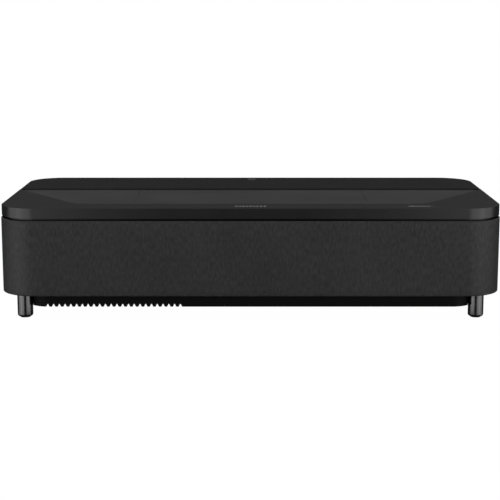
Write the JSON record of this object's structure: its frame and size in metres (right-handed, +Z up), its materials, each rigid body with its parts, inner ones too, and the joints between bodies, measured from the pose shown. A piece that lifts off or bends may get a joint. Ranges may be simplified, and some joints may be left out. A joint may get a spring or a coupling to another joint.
{
  "type": "home projector",
  "caption": "Low wide ultra-short-throw home projector with a cloth front cover, sliding lens door, adjustable front feet and its light engine inside.",
  "frame": {"origin": "on the floor under the middle of the case", "axes": "+X to the right seen from the front, +Y to the rear, +Z up"},
  "size_m": [0.695, 0.341, 0.157],
  "materials": {
    "cover_satin": "fine satin texture, near-black",
    "band_satin": "fine satin texture, dark grey",
    "deck_satin": "fine satin texture, black",
    "case_black": "moulded black, light texture",
    "cloth": "woven speaker cloth, charcoal",
    "frame_black": "moulded black",
    "foot_metal": "gunmetal, brushed round",
    "rubber_black": "matt black rubber",
    "badge": "satin",
    "gloss_black": "polished black",
    "lamp_clear": "milky light pipe",
    "sensor_smoke": "smoked sensor window",
    "steel": "plated steel",
    "alloy": "die-cast",
    "fins": "extruded",
    "board": "green solder mask",
    "foam": "open-cell foam",
    "cone_paper": "coated pulp",
    "optic_glass": "coated optical glass",
    "window_glass": "coated window",
    "mirror_coat": "front-silvered",
    "phosphor": "phosphor coat on a metal disc",
    "gear_white": "acetal"
  },
  "bodies": {
    "case": {"top_cover": "cover_satin", "band_panel": "band_satin", "rear_deck": "deck_satin", "rear_sensor_window": "sensor_smoke", "badge_bars": "badge", "button_board": "board", "status_light": "lamp_clear", "mid_frame": "frame_black", "lower_case": "case_black", "base_plinth": "case_black", "front_baffle": "frame_black", "ir_receiver": "gloss_black", "speaker_left": "steel", "speaker_right": "steel", "side_panel_left": "case_black", "side_panel_right": "case_black", "rear_panel": "case_black", "terminal_tray": "frame_black", "hdmi_sockets": "steel", "usb_sockets": "steel", "optical_socket": "gloss_black", "audio_jack": "gloss_black", "ac_inlet": "frame_black", "main_board": "board", "power_supply": "board", "rear_feet": "rubber_black", "engine_base": "alloy", "engine_housing": "alloy", "prism": "optic_glass", "lcd_panels": "gloss_black", "lens_barrel": "frame_black", "mirror": "mirror_coat", "window_hood": "frame_black", "window_glass": "window_glass", "laser_bank": "alloy", "laser_heat_sink": "fins", "wheel_motor": "alloy", "intake_fan_frame": "frame_black", "exhaust_fan_frame": "frame_black", "door_rails": "frame_black", "door_motor": "steel", "case_screws": "steel"},
    "lens_door": {"lens_door": "band_satin"},
    "door_pinion": {"door_pinion": "gear_white"},
    "power_button": {"power_button": "gloss_black"},
    "front_cover": {"grille_cloth": "cloth", "front_cover_frame": "frame_black", "cover_magnets": "steel"},
    "filter_cassette": {"filter_cover": "case_black", "filter_foam": "foam"},
    "focus_ring": {"focus_ring": "frame_black"},
    "phosphor_wheel": {"phosphor_wheel": "phosphor"},
    "intake_rotor": {"intake_fan_rotor": "frame_black"},
    "exhaust_rotor": {"exhaust_fan_rotor": "frame_black"},
    "cone_left": {"speaker_cone_left": "cone_paper"},
    "cone_right": {"speaker_cone_right": "cone_paper"},
    "pad_left": {"foot_pad_left": "rubber_black"},
    "foot_left": {"front_foot_left": "foot_metal"},
    "pad_right": {"foot_pad_right": "rubber_black"},
    "foot_right": {"front_foot_right": "foot_metal"}
  },
  "joints": [
    {"name": "lens_door_slide", "type": "slide", "parent": "case", "child": "lens_door", "axis": [0, 1, 0], "range_m": [0, 0.117]},
    {"name": "door_pinion_turn", "type": "hinge", "parent": "case", "child": "door_pinion", "pos_m": [0.1455, 0.0375, 0.1375], "axis": [1, 0, 0], "range_deg": [-680, 10]},
    {"name": "power_button_press", "type": "slide", "parent": "case", "child": "power_button", "axis": [0, 0, -1], "range_m": [0, 0.0008], "stiffness_N_per_m": 900},
    {"name": "front_cover_pull", "type": "slide", "parent": "case", "child": "front_cover", "axis": [0, -1, 0], "range_m": [0, 0.04]},
    {"name": "filter_pull", "type": "slide", "parent": "case", "child": "filter_cassette", "axis": [1, 0, 0], "range_m": [0, 0.035]},
    {"name": "focus_turn", "type": "hinge", "parent": "case", "child": "focus_ring", "pos_m": [0, -0.021, 0.092], "axis": [0, 1, 0], "range_deg": [-8, 8]},
    {"name": "phosphor_spin", "type": "hinge", "parent": "case", "child": "phosphor_wheel", "pos_m": [-0.1, 0.078, 0.092], "axis": [1, 0, 0], "continuous": true},
    {"name": "intake_fan_spin", "type": "hinge", "parent": "case", "child": "intake_rotor", "pos_m": [0.31, 0.032, 0.09], "axis": [1, 0, 0], "continuous": true},
    {"name": "exhaust_fan_spin", "type": "hinge", "parent": "case", "child": "exhaust_rotor", "pos_m": [-0.328, 0.056, 0.09], "axis": [1, 0, 0], "continuous": true},
    {"name": "cone_left_stroke", "type": "slide", "parent": "case", "child": "cone_left", "axis": [0, -1, 0], "range_m": [-0.001, 0.001], "stiffness_N_per_m": 1500},
    {"name": "cone_right_stroke", "type": "slide", "parent": "case", "child": "cone_right", "axis": [0, -1, 0], "range_m": [-0.001, 0.001], "stiffness_N_per_m": 1500},
    {"name": "foot_left_raise", "type": "slide", "parent": "case", "child": "pad_left", "axis": [0, 0, -1], "range_m": [0, 0.008]},
    {"name": "foot_left_turn", "type": "hinge", "parent": "pad_left", "child": "foot_left", "pos_m": [-0.315, -0.1395, 0.003], "axis": [0, 0, 1], "range_deg": [0, 1440]},
    {"name": "foot_right_raise", "type": "slide", "parent": "case", "child": "pad_right", "axis": [0, 0, -1], "range_m": [0, 0.008]},
    {"name": "foot_right_turn", "type": "hinge", "parent": "pad_right", "child": "foot_right", "pos_m": [0.315, -0.1395, 0.003], "axis": [0, 0, 1], "range_deg": [0, 1440]}
  ],
  "couplings": [
    {"joint": "door_pinion_turn", "follows": "lens_door_slide", "rad_per_m": -100},
    {"joint": "foot_left_turn", "follows": "foot_left_raise", "rad_per_m": 3141.6},
    {"joint": "foot_right_turn", "follows": "foot_right_raise", "rad_per_m": 3141.6}
  ]
}
